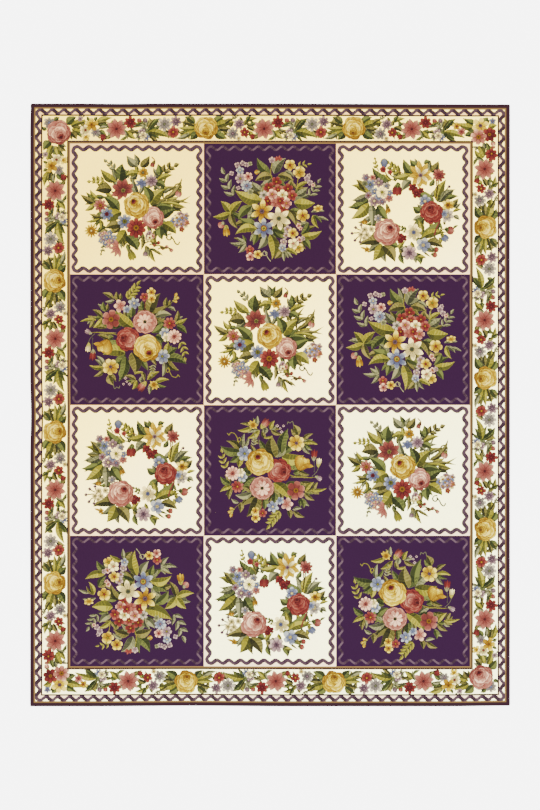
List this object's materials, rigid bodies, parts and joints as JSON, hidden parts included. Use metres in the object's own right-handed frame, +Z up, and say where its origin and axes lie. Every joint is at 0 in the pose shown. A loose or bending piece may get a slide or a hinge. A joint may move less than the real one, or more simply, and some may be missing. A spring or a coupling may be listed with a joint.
{
  "type": "needlepoint rug",
  "caption": "Flat rectangular wool needlepoint rug with a checkerboard of flower bouquets on cream and plum grounds inside a flower-band border.",
  "frame": {"origin": "middle of the rug's underside, on the floor", "axes": "+X across the rug, +Y along its length towards the top of the pattern, +Z up from the floor"},
  "size_m": [2.9952, 3.7632, 0.005],
  "materials": {
    "wool": "matt dyed wool in tent stitch"
  },
  "bodies": {
    "root": {"rug": "wool"}
  },
  "joints": []
}
